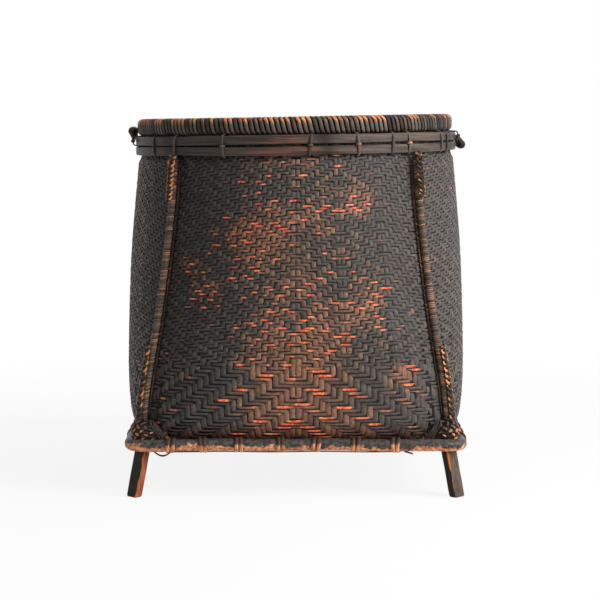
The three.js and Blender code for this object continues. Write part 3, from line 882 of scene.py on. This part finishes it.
earFinish = finish("earFinish", paintCane)
for earName, facing in (("left", -1), ("right", 1)):
    seeds = earSeeds(facing, math.radians(earShape[earName + "Rise"]))
    ear = growPiece(earName + "Ear", earShape, caneAlong, earFinish, seeds)
    settle(ear, "cane", "ear_loop_" + earName, body=earName + "_ear")
print("ears set")

# ribs: round cane up each corner, wound closely with a thin strip
ribShape = Settings(
    bottom=70.7, top=313.0, stand=4.2, core=2.7, wind=3.0, pitch=1.7, samples=10,
    stripWidth=2.0, stripThick=0.8, coreSamples=48,
)


def atCorners(prefix):
    return [prefix + corner for corner in ("back_right", "back_left", "front_left", "front_right")]


def besideRib(corner, height):  # a rib's middle, the way it faces and the way along the wall
    spot, facing = wallPoint(corner * 0 + 1.0, corner, height, ribShape.stand)
    return spot, facing, unit(sideways(facing))


def about(spot, facing, side, out, along):  # a spot moved out from the wall and along it
    return plus(plus(spot, scaled(facing, out)), scaled(side, along))


def ribWinding(bench, size):
    index, base = bench.index(), ribShape.bottom
    long = ribShape.top - base
    each = round(long / ribShape.pitch) * ribShape.samples
    corner, step = split(index, each)
    spot, facing, side = besideRib(corner, base + step * (long / each))
    wind = step * (2 * math.pi / ribShape.samples)
    out, along = cos(wind), sin(wind)
    run = math.floor(step / ribShape.samples + 0.5) + corner * 400
    wound = strands(
        each * 4, about(spot, facing, side, out * size.wind, along * size.wind),
        plus(scaled(facing, out), scaled(side, along)), corner, step,
        lens(size.stripWidth, size.stripThick, 4), stripTones(corner, run, step * 2.0, 31))
    count = ribShape.coreSamples
    corner, step = split(index, count)
    spot, facing, side = besideRib(corner, base + step * (long / (count - 1)))
    core = strands(
        count * 4, spot, facing, corner, step, lens(size.core * 2, size.core * 2, 10),
        stripTones(corner, corner, step * 5.0, 35))
    return joined(bench, wound, core)


ribFinish = finish("ribFinish", paintStrip(
    rgb(58, 50, 44), rgb(124, 107, 93), rgb(172, 122, 94), 0.32, edge=rgb(38, 31, 27)))
settle(growPiece("ribWindings", ribShape, ribWinding, ribFinish), "cane", *atCorners("corner_rib_"))
print("ribs wound")

# braids: three flat canes plaited over the outer half of each rib, at its foot and its top
braidShape = Settings(
    samples=66, canes=3, stand=4.7, roundHalf=8, fall=0.42,
    lowerBraid=Settings(
        bottom=70.2, top=140.2, wideFoot=4.4, wideTop=3.7, aside=3.2, period=16.0,
        lap=0.9, width=3.0, thick=2.0, sootFoot=0.24, sootTop=0.0, sootRight=0.06),
    upperBraid=Settings(
        bottom=276.2, top=315.2, wideFoot=3.2, wideTop=3.6, aside=0.2, period=13.2,
        lap=0.9, width=2.7, thick=1.8, sootFoot=0.0, sootTop=0.06, sootRight=0.2),
)


def ribBraid(bench, size):
    samples, canes = braidShape.samples, braidShape.canes
    strand, share = laid(bench, samples)
    corner = strand // canes
    height = mix(share, size.bottom, size.top)
    wide = mix(root(share), size.wideFoot, size.wideTop)
    spot, facing, side = besideRib(corner, height)
    side = scaled(side, (corner % 2) * 2 - 1)  # which way along the wall the plait lies
    swing = height * (2 * math.pi) / size.period + strand * (2 * math.pi / canes)
    along = sin(swing) * wide + size.aside
    lean = along / braidShape.roundHalf
    out = sin(swing * 2) * size.lap + braidShape.stand - along * lean * braidShape.fall
    lie = unit(plus(facing, scaled(side, lean * 0.5)))
    spot = about(spot, facing, side, out, along)
    run = strand * 61 + math.floor(swing / math.pi + 0.5)
    tones = stripTones(strand, run, height * 1.3, 41)
    soot = mix(share, size.sootFoot, size.sootTop) + (axis(spot, "X") > 0) * size.sootRight
    tones["floatTone"] = tones["floatTone"] * 0.4 + abs(sin(swing)) * 0.6 - soot
    section = lens(size.width, size.thick)
    return strands(samples * canes * 4, spot, lie, strand, share, section, tones)


braidFinish = finish("braidFinish", paintStrip(
    rgb(36, 31, 29), rgb(92, 72, 58), rgb(232, 152, 100), 0.5, crest=0.6))
for braidName, node in (("lowerBraid", "lower_braid_"), ("upperBraid", "upper_braid_")):
    braids = growPiece(braidName + "s", braidShape[braidName], ribBraid, braidFinish)
    settle(braids, "lashing", *atCorners(node))
print("braids set")

# stitches: a strip along both sides of each rib, sewn to the wall
stitchShape = Settings(
    bottom=132.2, top=280.2, each=34, samples=5, near=2.4, far=6.8, lift=0.5,
    arch=1.1, width=1.5, thick=0.9, stripBottom=76.2, stripTop=304.2, stripSamples=60,
    stripWidth=2.6, stripThick=1.0, inset=2.2,
)


def besideCorner(corner, way, away, height, lift):  # a spot on the wall, so far from a corner along one side
    across = (away / halfAt(height) - 1) * way
    return wallPoint(across, corner + (way > 0), height, lift)


def ribStitches(bench, size):
    each, samples = stitchShape.each, stitchShape.samples
    stitch, share = laid(bench, samples)
    line, level = split(stitch, each)
    height = size.bottom + (level + share * 0.5) * (size.top - size.bottom) / each
    away = mix(share, size.near, size.far)
    arch = sin(share * math.pi)
    lift = size.lift + arch * stitchShape.arch
    spot, facing = besideCorner(line // 2, (line % 2) * 2 - 1, away, height, lift)
    sewn = strands(
        each * samples * 8, spot, facing, stitch, share, lens(size.width, size.thick, 4),
        stripTones(stitch, stitch, share * 6, 51), scale=0.6 + arch * 0.5)
    count = stitchShape.stripSamples
    line, step = split(bench.index(), count)
    height = mix(step / (count - 1), stitchShape.stripBottom, stitchShape.stripTop)
    away = size.far - stitchShape.inset
    spot, facing = besideCorner(line // 2, (line % 2) * 2 - 1, away, height, size.lift)
    edge = strands(
        count * 8, spot, facing, line, step, lens(size.stripWidth, size.stripThick, 4),
        stripTones(line, line * 50 + step // 5, step * 4, 55))
    return joined(bench, sewn, edge)


stitchFinish = finish("stitchFinish", paintStrip(
    rgb(56, 40, 33), rgb(112, 77, 59), rgb(178, 110, 76), 0.34))
stitching = growPiece("ribStitching", stitchShape, ribStitches, stitchFinish)
settle(stitching, "lashing", *atCorners("corner_rib_"))
print("stitching set")

# corner pads: a plaited dome on the frame under each rib, with three canes laid along its inner edge
padShape = Settings(
    foot=52.4, tall=19.5, sweep=27.0, bulge=9.5, taper=0.72, corner=10.5, cornerHalf=0.6,
    dome=0.93, wallFrom=55.2, ribbons=11, samples=26, slant=0.72, spread=1.3, lap=0.6,
    width=3.0, thick=1.3, heartSamples=24, heartStrips=6, heartWidth=7.5, heartThick=2.0,
    heartHalf=0.98, heartTop=0.96, edgeSamples=14, edgeCanes=3, edgeWidth=2.3, edgeTop=1.02,
    wallGap=0.4, heartDepth=1.3, edgeLift=1.3,
)


def padSpot(corner, along, up, lift):  # along runs from -1 to 1 round the corner, up from 0 to 1
    fall = 1 - along * along * padShape.taper
    height = padShape.foot + up * padShape.tall * fall
    peak = most(1 - (along / padShape.cornerHalf) ** 2, 0.0) * padShape.corner
    swell = root(most(1 - up * up * padShape.dome, 0.0)) * (padShape.bulge * fall + peak)
    wall = most(height, padShape.wallFrom)
    away = abs(along) * padShape.sweep
    spot, facing = besideCorner(corner, sign(along), away, wall, padShape.wallGap)
    flat = unit(times(facing, (1, 1, 0)))
    lie = unit(plus(flat, vector(0.0, 0.0, up * 1.1 + 0.1)))
    spot = plus(times(spot, (1, 1, 0)), vector(0.0, 0.0, height))
    return plus(plus(spot, scaled(flat, swell)), scaled(lie, lift)), lie


def padPlait(bench, size):
    ribbons, samples = padShape.ribbons, padShape.samples
    strand, up = laid(bench, samples)
    corner, lane = split(strand, ribbons * 2)
    way = (lane % 2) * 2 - 1
    apart = padShape.spread * 2 / (ribbons - 1)
    along = lane // 2 * apart - padShape.spread + (up - 0.5) * way * padShape.slant
    beat = (up - 0.5) * 2 * padShape.slant / apart  # a whole number at each crossing
    lap = cos(beat * math.pi) * way * padShape.lap
    end = 0.93 + chance(strand, 63) * 0.069  # no two ribbons turn back at the same place
    spot, lie = padSpot(corner, most(least(along, end), -end), up, lap)
    run = strand * 37 + math.floor(beat + 8.5)
    plait = strands(
        ribbons * 2 * samples * 4, spot, lie, strand, up, lens(size.width, size.thick),
        dict(stripTones(strand, run, up * 24, 61), lap=lap))
    return joined(bench, plait, padHeart(bench, size), padEdge(bench, size))


def padHeart(bench, size):  # what the plait lies on
    samples, strips = padShape.heartSamples, padShape.heartStrips
    strand, share = laid(bench, samples)
    corner, level = split(strand, strips)
    along = share * (padShape.heartHalf * 2) - padShape.heartHalf
    up = level / (strips - 1) * padShape.heartTop
    spot, lie = padSpot(corner, along, up, -padShape.heartDepth)
    return strands(
        samples * strips * 4, spot, lie, strand, along, lens(size.heartWidth, size.heartThick),
        dict(stripTones(strand * 0, strand * 0, along * 20, 65), lap=strand * 0 - 1))


def padEdge(bench, size):
    samples, canes = padShape.edgeSamples, padShape.edgeCanes
    strand, share = laid(bench, samples)
    corner, lane = split(strand, canes)
    inner = (corner % 2) * -2 + 1
    along = (0.4 + share * 0.34 + lane * 0.11) * inner
    up = padShape.edgeTop - share * share * padShape.edgeTop
    spot, lie = padSpot(corner, along, up, padShape.edgeLift)
    tones = {
        "strandTone": chance(strand, 67), "floatTone": share * 0.2, "grain": share * 30, "lap": share * 0 - 2}
    section = lens(size.edgeWidth, size.edgeWidth, 8)
    return strands(samples * canes * 4, spot, lie, strand, share, section, tones)


def paintPad(bench):  # black plait with its crossings rubbed to bare cane, under dark edge canes
    run, crown, fibre = stripLook(bench)
    lap = bench.tone("lap")
    base = blend(fibre, rgb(34, 31, 30), rgb(78, 70, 66))
    # painted shade: near black where a ribbon passes under another, and half so on the dome beneath
    base = blend(fade(lap, -1.4, -0.6) * (1 - fade(lap, -0.1, 0.2)), base, rgb(12, 10, 10))
    bare = blend(fibre, rgb(168, 96, 54), rgb(244, 172, 116))
    low = 1 - fade(bench.tone("grain"), 10.0, 17.0) * 0.85
    base = blend(fade(lap, 0.05, 0.3) * fade(run, 0.08, 0.3) * low, base, bare)
    # painted shade: darker at the ribbons' edges
    base = blend(fade(crown, 0.2, 0.7), rgb(10, 9, 9), base)
    return surface(base, 0.42 + fibre * 0.3, fibre)


padFinish = finish("padFinish", paintPad)
settle(growPiece("cornerPads", padShape, padPlait, padFinish), "lashing", *atCorners("corner_pad_"))
print("pads plaited")

# base frame: one bent cane, a little bowed on every side
frameShape = Settings(
    half=154.5, bend=16.0, rod=11.4, level=48.5, bow=1.2, wander=0.8,
    bendSteps=10, samples=420, sides=18, knobScale=0.07, knobs=1.0,
)


def frameCane(bench, size):
    path = rectangle(bench, size.half * 2, size.half * 2, size.bend, frameShape.bendSteps)
    path = bench.node(
        "GeometryNodeResampleCurve", {"mode": "COUNT"}, {"Curve": path, "Count": frameShape.samples})
    spot = bench.node("GeometryNodeInputPosition")
    x, y = axis(spot, "X"), axis(spot, "Y")
    near = least(abs(x), abs(y)) / size.half
    wave = sin(x * 0.061 + y * 0.083) * size.wander
    rise = (1 - near * near) * size.bow + wave * 0.4 + size.level
    path = bench.node(
        "GeometryNodeSetPosition", None, {"Geometry": path, "Offset": vector(0.0, wave * 0.3, rise)})
    ring = circle(bench, frameShape.sides, size.rod / 2)
    cane = bench.node("GeometryNodeCurveToMesh", None, {"Curve": path, "Profile Curve": ring})
    return roughened(cane, frameShape.knobScale, frameShape.knobs, 0.5)


def paintFrame(bench):  # black on top, rubbed to bare orange cane below
    where = bench.place()
    up = axis(bench.facing(), "Z")
    fibre = noise(where, 330.0, 4.0)
    patch = noise(where, 64.0, 4.0)
    right = fade(axis(where, "X"), -0.11, 0.02)
    dark = blend(fade(fibre, 0.3, 0.7), rgb(44, 44, 44), rgb(92, 86, 81))
    bare = blend(fade(fibre, 0.3, 0.7), rgb(150, 86, 58), rgb(250, 176, 132))
    rubbed = fade(patch * 2 + fibre * 0.4 - up * 0.6 - right * 0.15, 1.1, 1.4)
    return surface(blend(rubbed, dark, bare), 0.4 + rubbed * 0.18, fibre + rubbed * -0.3, 0.4, 0.0008)


frameFinish = finish("frameFinish", paintFrame)
settle(growPiece("baseFrame", frameShape, frameCane, frameFinish), "cane", "base_frame")
print("frame bent")

# frame lashing: pairs of turns round the cane, the strip carried along below from pair to pair,
# and in front a loose loop and a strip's end
lashShape = Settings(
    spots=[-116, -86, -53, -14, 19, 56, 93], pitch=4.3, middle=6.35, width=4.1, thick=1.7,
    under=5.9, samples=18, skew=0.7, stripWidth=3.2, stripThick=1.1, stripFrom=-120,
    stripLong=217, stripSamples=70, looseWidth=3.0, looseThick=1.8, looseSamples=16,
    looseOut=0.6, loopFrom=-132, loopLong=17, loopDrop=4.4, endFrom=101, endLong=8,
)


def lashTurn(bench, size):
    samples = lashShape.samples
    index, out, up = circuit(bench, samples)
    spot = vector(up * lashShape.skew, out * size.middle, up * size.middle)
    turn = strands(
        samples, spot, vector(0.0, out, up), index * 0, index,
        lens(size.width, size.thick), {"grain": index * 2.2}, True)
    samples = lashShape.stripSamples
    side, step = split(index, samples)
    along = step / (samples - 1) * lashShape.stripLong + lashShape.stripFrom
    deep = sin(along * 0.07 + side) * 1.6 - frameShape.half
    x, y = turned(along, deep, side * (math.pi / 2))
    strip = strands(
        samples * 4, vector(x, y, frameShape.level + 0.5 - size.under), (0, 0, -1), side, step,
        lens(size.stripWidth, size.stripThick), stripTones(side, step // 8, along, 71))
    samples = lashShape.looseSamples
    part, share = laid(bench, samples)  # the loop, then the end
    loop = share * lashShape.loopLong + lashShape.loopFrom
    x = mix(part, loop, share * lashShape.endLong + lashShape.endFrom)
    drop = mix(part, sin(share * math.pi) * lashShape.loopDrop - 0.8, share * 2.2 - 0.6)
    spot = vector(x, lashShape.looseOut - frameShape.half, frameShape.level - size.under - drop)
    loose = strands(
        samples * 2, spot, (0, 0, -1), part, share, lens(size.looseWidth, size.looseThick),
        stripTones(index * 0, index * 0 + 3, share * 12, 75))
    return joined(bench, onSeeds(size.seeds, turn), strip, loose)


def lashSeeds():
    made = []
    for side in range(4):
        quarter = side * math.pi / 2
        for i, spot in enumerate(lashShape.spots):
            near = abs(spot) / frameShape.half
            rise = frameShape.level + (1 - near * near) * frameShape.bow
            for half in (-0.5, 0.5):
                place = turnedFlat(spot + half * lashShape.pitch, -frameShape.half, quarter)
                made.append(loopSeed(
                    quarter + 0.05 * math.sin(spot + side), (spot * 0.31 + half) % 6,
                    (i * 0.29 + side * 0.17) % 1, (i * 0.53 + half + side * 0.41) % 1, (*place, rise)))
    return made


def paintLash(bench):  # as the cane below it: black on top, bare in front
    up = axis(bench.facing(), "Z")
    run, crown = bench.tone("floatTone"), abs(bench.tone("crown"))
    fibre = fibres(run, 0.09, crown * 2.4)
    base = blend(fibre, rgb(46, 38, 34), rgb(92, 72, 60))
    bare = blend(fade(fibre, 0.3, 0.7), rgb(164, 92, 60), rgb(246, 176, 128))
    base = blend(fade(run * 0.2 + fibre * 0.4 - up * 0.7, 0.08, 0.36), base, bare)
    # painted shade: darkened where the turns' faces turn away, between the turns
    base = blend(fade(crown, 0.15, 0.7), rgb(16, 12, 10), base)
    return surface(base, 0.4 + fibre * 0.3, fibre)


lashFinish = finish("lashFinish", paintLash)
lashNodes = ["frame_lashing_" + side for side in ("front", "right", "back", "left")]
settle(growPiece("frameLashing", lashShape, lashTurn, lashFinish, lashSeeds()), "lashing", *lashNodes)
print("frame lashed")

# legs: split posts, splayed outwards along the diagonals, each with a wedge under the bottom
legShape = Settings(
    wide=13.6, deep=8.0, round=1.0, flat=1.6, top=53.4, level=48.5, reach=200.8,
    splay=14.0, rings=14, wedge=7.5, wedgeHalf=4.2, wedgeFoot=38.5, wedgeTop=46.5,
    wedgeFaces=((0, 1, 2), (5, 4, 3), (0, 3, 4, 1), (1, 4, 5, 2), (2, 5, 3, 0)),
)


def legOutline():  # a post's section, and how near each point is to an edge
    x, y, r = legShape.deep / 2, legShape.wide / 2, legShape.round
    made = []
    for quarter, (sx, sy) in enumerate(((1, 1), (-1, 1), (-1, -1), (1, -1))):
        ends = [(quarter + step / 3) * math.pi / 2 for step in range(4)]
        arc = [(sx * (x - r) + r * math.cos(turn), sy * (y - r) + r * math.sin(turn), 1.0) for turn in ends]
        first, last = arc[0], arc[-1]
        inX, inY = -sx * legShape.flat, -sy * legShape.flat
        if quarter % 2:
            made += [(first[0] + inX, first[1], 0.0)] + arc + [(last[0], last[1] + inY, 0.0)]
        else:
            made += [(first[0], first[1] + inY, 0.0)] + arc + [(last[0] + inX, last[1], 0.0)]
    return made


def legMesh():
    points, faces, edges = [], [], []
    lean = math.tan(math.radians(legShape.splay))
    outline, top, rings = legOutline(), legShape.top, legShape.rings
    levels = [0.0, 0.5, 2.2] + [2.5 + (top - 4.5) * i / rings for i in range(1, rings)]
    levels += [top - 1.6, top - 0.4, top]
    count = len(outline)
    for corner in range(4):
        base = len(points)
        spots = []
        for z in levels:
            end = min(z, top - z)
            trim = 0.8 if end <= 0 else 0.93 if end < 0.6 else 1.0
            hewn = trim * (1 + 0.012 * math.sin(z * 0.21 + corner * 2))
            spots += [(dx * hewn, dy * hewn, z, 1.0 if z < 1 else edge) for dx, dy, edge in outline]
        for ring in range(len(levels) - 1):
            low = base + ring * count
            for i in range(count):
                k = (i + 1) % count
                faces.append((low + i, low + k, low + count + k, low + count + i))
        wedge = base + len(spots)
        faces.append(tuple(reversed(range(base, base + count))))
        faces.append(tuple(range(wedge - count, wedge)))
        low, high = legShape.wedgeFoot, legShape.wedgeTop
        for along in (-legShape.wedgeHalf, legShape.wedgeHalf):
            for z, out in ((low, 1.0), (high, 1.0), (high, -legShape.wedge)):
                spots.append((out - legShape.deep / 2, along, z, 0.0))
        faces += [tuple(wedge + i for i in face) for face in legShape.wedgeFaces]
        for out, along, z, edge in spots:
            middle = legShape.reach + (legShape.level - z) * lean
            x, y = turnedFlat(middle + out, along, (corner + 0.5) * math.pi / 2)
            points.append((x / 1000, y / 1000, z / 1000))
            edges.append(edge)
    mesh = bpy.data.meshes.new("legs")
    mesh.from_pydata(points, [], faces)
    mesh.attributes.new("edge", "FLOAT", "POINT").data.foreach_set("value", edges)
    mesh.shade_smooth()
    return mesh


def paintLeg(bench):  # smoke-black wood: bare along the edges, and to the right on the left-hand posts
    where = bench.place()
    fibre = noise(times(where, (1, 1, 0.16)), 420.0, 4.0)
    patch = noise(times(where, (1, 1, 0.5)), 90.0, 4.0)
    grain = fade(fibre, 0.3, 0.7)
    lit = fade(axis(bench.facing(), "X"), 0.1, 0.4)
    dark = blend(grain, rgb(22, 21, 21), rgb(46, 43, 41))
    base = blend(lit, dark, blend(grain, rgb(60, 53, 46), rgb(98, 86, 73)))
    bare = blend(grain, rgb(112, 58, 34), rgb(178, 102, 62))
    base = blend(lit * (axis(where, "X") < 0) * (0.6 + patch * 0.6), base, bare)
    base = blend(fade(bench.tone("edge") + patch * 1.4, 1.66, 1.86), base, rgb(204, 104, 52))
    return surface(base, 0.42 + patch * 0.3, fibre, 0.4, 0.0007)


woodFinish = finish("woodFinish", paintLeg)
legs = added("legs", legMesh())
legs.data.materials.append(woodFinish)
settle(legs, "wood", *atCorners("leg_"))
for slat in ("cross_slat_falling", "cross_slat_rising"):
    bpy.data.objects[slat].data.materials.clear()
    bpy.data.objects[slat].data.materials.append(woodFinish)
print("legs and slats set")

# woven bottom: the same strips crossing flat over the slats
bottomShape = Settings(
    half=148.2, level=49.7, strips=46, lift=0.6, thick=0.95, roundness=7, fill=1.9,
)


def wovenBottom(bench, size):
    strips, power = bottomShape.strips, bottomShape.roundness
    strand, step = split(bench.index(), strips)
    weft, lane = split(strand, strips)
    aside = (lane + 0.5) / strips * 2 - 1
    along = (step + 0.5) / strips * 2 - 1
    over = sin(((lane + step) / 4 + 0.125) * (2 * math.pi)) * (weft * 2 - 1)
    x = size.half * aside
    y = size.half * along * (1 - abs(aside) ** power) ** (1 / power)
    spot = vector(mix(weft, x, y), mix(weft, y, x), size.level + over * size.lift)
    tones = stripTones(strand, strand * 50 + step // 2, along * 140, 81)
    section = lens(size.half * bottomShape.fill / strips, size.thick, 4)
    return strands(
        strips * strips * 2, spot, (0, 0, 1), strand, step, section, dict(tones, over=over, weft=weft))


settle(growPiece("wovenBottom", bottomShape, wovenBottom, weaveFinish), "weave", "woven_body")
print("bottom woven")

# stage: a white floor and sky, and three lamps with their place, width and power
stageShape = Settings(
    floorHalf=9, paper=0.9, nearGlow=0.88, fadeFrom=0.25, fadeTo=1.1, skyLight=0.18,
    aim=(0, 0, 0.18),
    lamps=Settings(
        keyLight=((1.3, -0.8, 0.9), 0.9, 33), sideLight=((-1.5, -1.3, 0.9), 1.0, 2),
        topLight=((0.3, 0.1, 2.0), 1.2, 9)),
)


def straightRays(bench):  # 1 where the floor or the sky is seen, plainly or in a reflection
    camera, glossy, through = (
        bench.node("ShaderNodeLightPath", None, None, "Is %s Ray" % kind)
        for kind in ("Camera", "Glossy", "Transmission"))
    return least(camera + glossy + through, 1.0)


def makeFloor():
    half, pale = stageShape.floorHalf, stageShape.paper
    mesh = bpy.data.meshes.new("studioFloor")
    corners = [(-half, -half, 0), (half, -half, 0), (half, half, 0), (-half, half, 0)]
    mesh.from_pydata(corners, [], [(0, 1, 2, 3)])
    floor = added("studioFloor", mesh)
    paper = bpy.data.materials.new("paleFloor")
    bench = clearTree(paper)
    plain = bench.node("ShaderNodeBsdfDiffuse", None, {"Color": (pale, pale, pale, 1)})
    glow = bench.node("ShaderNodeEmission", None, {"Color": (1, 1, 1, 1), "Strength": 1.0})
    away = bench.node("ShaderNodeVectorMath", {"operation": "LENGTH"}, {0: bench.place()}, "Value")
    far = fade(away, stageShape.fadeFrom, stageShape.fadeTo)
    seen = straightRays(bench) * (stageShape.nearGlow + far * (1 - stageShape.nearGlow))
    both = bench.node("ShaderNodeMixShader", None, {0: seen, 1: plain, 2: glow})
    toOutput(both, "ShaderNodeOutputMaterial")
    floor.data.materials.append(paper)


def makeLight():
    world = bpy.data.worlds.new("studioWorld")
    sky = clearTree(world)
    strength = straightRays(sky) * (1 - stageShape.skyLight) + stageShape.skyLight
    light = sky.node("ShaderNodeBackground", None, {"Color": (1, 1, 1, 1), "Strength": strength})
    toOutput(light, "ShaderNodeOutputWorld")
    bpy.context.scene.world = world
    for name, (place, width, power) in stageShape.lamps.items():
        lamp = bpy.data.lights.new(name, "AREA")
        lamp.size = width
        lamp.energy = power
        made = added(name, lamp)
        made.location = place
        made.rotation_euler = (Vector(stageShape.aim) - Vector(place)).to_track_quat("-Z", "Y").to_euler()


makeFloor()
makeLight()
bpy.context.scene.view_settings.view_transform = "Standard"
print("stage set")
